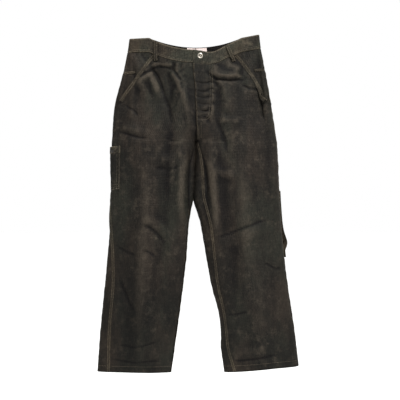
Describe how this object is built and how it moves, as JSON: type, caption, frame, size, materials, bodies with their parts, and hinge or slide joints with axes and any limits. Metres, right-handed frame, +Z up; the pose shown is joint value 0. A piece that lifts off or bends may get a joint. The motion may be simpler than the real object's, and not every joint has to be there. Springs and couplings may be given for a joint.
{
  "type": "work trousers",
  "caption": "Waxed canvas work trousers hanging flat by the waistband, with button fly, slant pockets, tool pocket and hammer loop.",
  "frame": {"origin": "middle of the waist opening, on the line between the two places where a hanger's clips grip the waistband, level with its top edge there", "axes": "+Z up towards the waist, -Y out of the wearer's front, +X towards the wearer's left"},
  "size_m": [0.626, 0.0967, 1.0552],
  "materials": {
    "waxed_canvas": "waxed matt",
    "lining_canvas": "matt",
    "pocketing": "matt",
    "nickel": "worn satin",
    "black_rivet": "satin",
    "woven_label": "woven satin"
  },
  "bodies": {
    "root": {"button_tab": "lining_canvas", "centre_back_belt_loop": "waxed_canvas", "coin_pocket": "waxed_canvas", "fly_button_tack_1": "nickel", "fly_button_tack_2": "nickel", "fly_button_tack_3": "nickel", "fly_button_tack_4": "nickel", "fly_facing": "lining_canvas", "fly_shield": "lining_canvas", "left_back_belt_loop": "waxed_canvas", "left_back_pocket": "waxed_canvas", "left_back_rise": "waxed_canvas", "left_back_yoke": "waxed_canvas", "left_front_belt_loop": "waxed_canvas", "left_front_rise": "waxed_canvas", "left_pocket_bag": "pocketing", "left_pocket_facing": "waxed_canvas", "left_side_belt_loop": "waxed_canvas", "left_waistband": "waxed_canvas", "left_waistband_facing": "lining_canvas", "right_back_belt_loop": "waxed_canvas", "right_back_pocket": "waxed_canvas", "right_back_rise": "waxed_canvas", "right_back_yoke": "waxed_canvas", "right_front_belt_loop": "waxed_canvas", "right_front_rise": "waxed_canvas", "right_pocket_bag": "pocketing", "right_pocket_facing": "waxed_canvas", "right_side_belt_loop": "waxed_canvas", "right_waistband": "waxed_canvas", "right_waistband_facing": "lining_canvas", "waist_button_tack": "nickel", "woven_label": "woven_label"},
    "right_thigh": {"right_front_thigh": "waxed_canvas", "right_back_thigh": "waxed_canvas", "tool_pocket_band": "waxed_canvas", "tool_pocket": "waxed_canvas", "tool_pocket_rivet": "black_rivet"},
    "right_shin": {"right_front_shin": "waxed_canvas", "right_back_shin": "waxed_canvas", "right_hem_turn_up": "waxed_canvas"},
    "left_thigh": {"left_front_thigh": "waxed_canvas", "left_back_thigh": "waxed_canvas", "hammer_loop": "waxed_canvas"},
    "left_shin": {"left_front_shin": "waxed_canvas", "left_back_shin": "waxed_canvas", "left_hem_turn_up": "waxed_canvas"},
    "waist_button": {"waist_button_cap": "nickel"},
    "fly_button_1": {"fly_button_cap_1": "nickel"},
    "fly_button_2": {"fly_button_cap_2": "nickel"},
    "fly_button_3": {"fly_button_cap_3": "nickel"},
    "fly_button_4": {"fly_button_cap_4": "nickel"}
  },
  "joints": [
    {"name": "right_leg_swing", "type": "hinge", "parent": "root", "child": "right_thigh", "pos_m": [-0.13, 0, -0.326], "axis": [1, 0, 0], "range_deg": [-30, 15]},
    {"name": "right_knee_fold", "type": "hinge", "parent": "right_thigh", "child": "right_shin", "pos_m": [-0.155, 0, -0.7], "axis": [1, 0, 0], "range_deg": [0, 40]},
    {"name": "left_leg_swing", "type": "hinge", "parent": "root", "child": "left_thigh", "pos_m": [0.13, 0, -0.326], "axis": [1, 0, 0], "range_deg": [-30, 15]},
    {"name": "left_knee_fold", "type": "hinge", "parent": "left_thigh", "child": "left_shin", "pos_m": [0.16, 0, -0.7], "axis": [1, 0, 0], "range_deg": [0, 40]},
    {"name": "waist_button_spin", "type": "hinge", "parent": "root", "child": "waist_button", "pos_m": [0.01308, -0.02548, -0.05671], "axis": [0.0233, -0.9983, 0.0542], "continuous": true},
    {"name": "fly_button_1_spin", "type": "hinge", "parent": "root", "child": "fly_button_1", "pos_m": [0.01292, -0.02232, -0.10216], "axis": [0.0235, -0.9962, 0.0839], "continuous": true},
    {"name": "fly_button_2_spin", "type": "hinge", "parent": "root", "child": "fly_button_2", "pos_m": [0.01293, -0.02502, -0.13294], "axis": [0.016, -0.9957, 0.091], "continuous": true},
    {"name": "fly_button_3_spin", "type": "hinge", "parent": "root", "child": "fly_button_3", "pos_m": [0.01294, -0.02777, -0.16303], "axis": [0.0063, -0.996, 0.0893], "continuous": true},
    {"name": "fly_button_4_spin", "type": "hinge", "parent": "root", "child": "fly_button_4", "pos_m": [0.01295, -0.03042, -0.19379], "axis": [-0.0011, -0.9966, 0.082], "continuous": true}
  ]
}
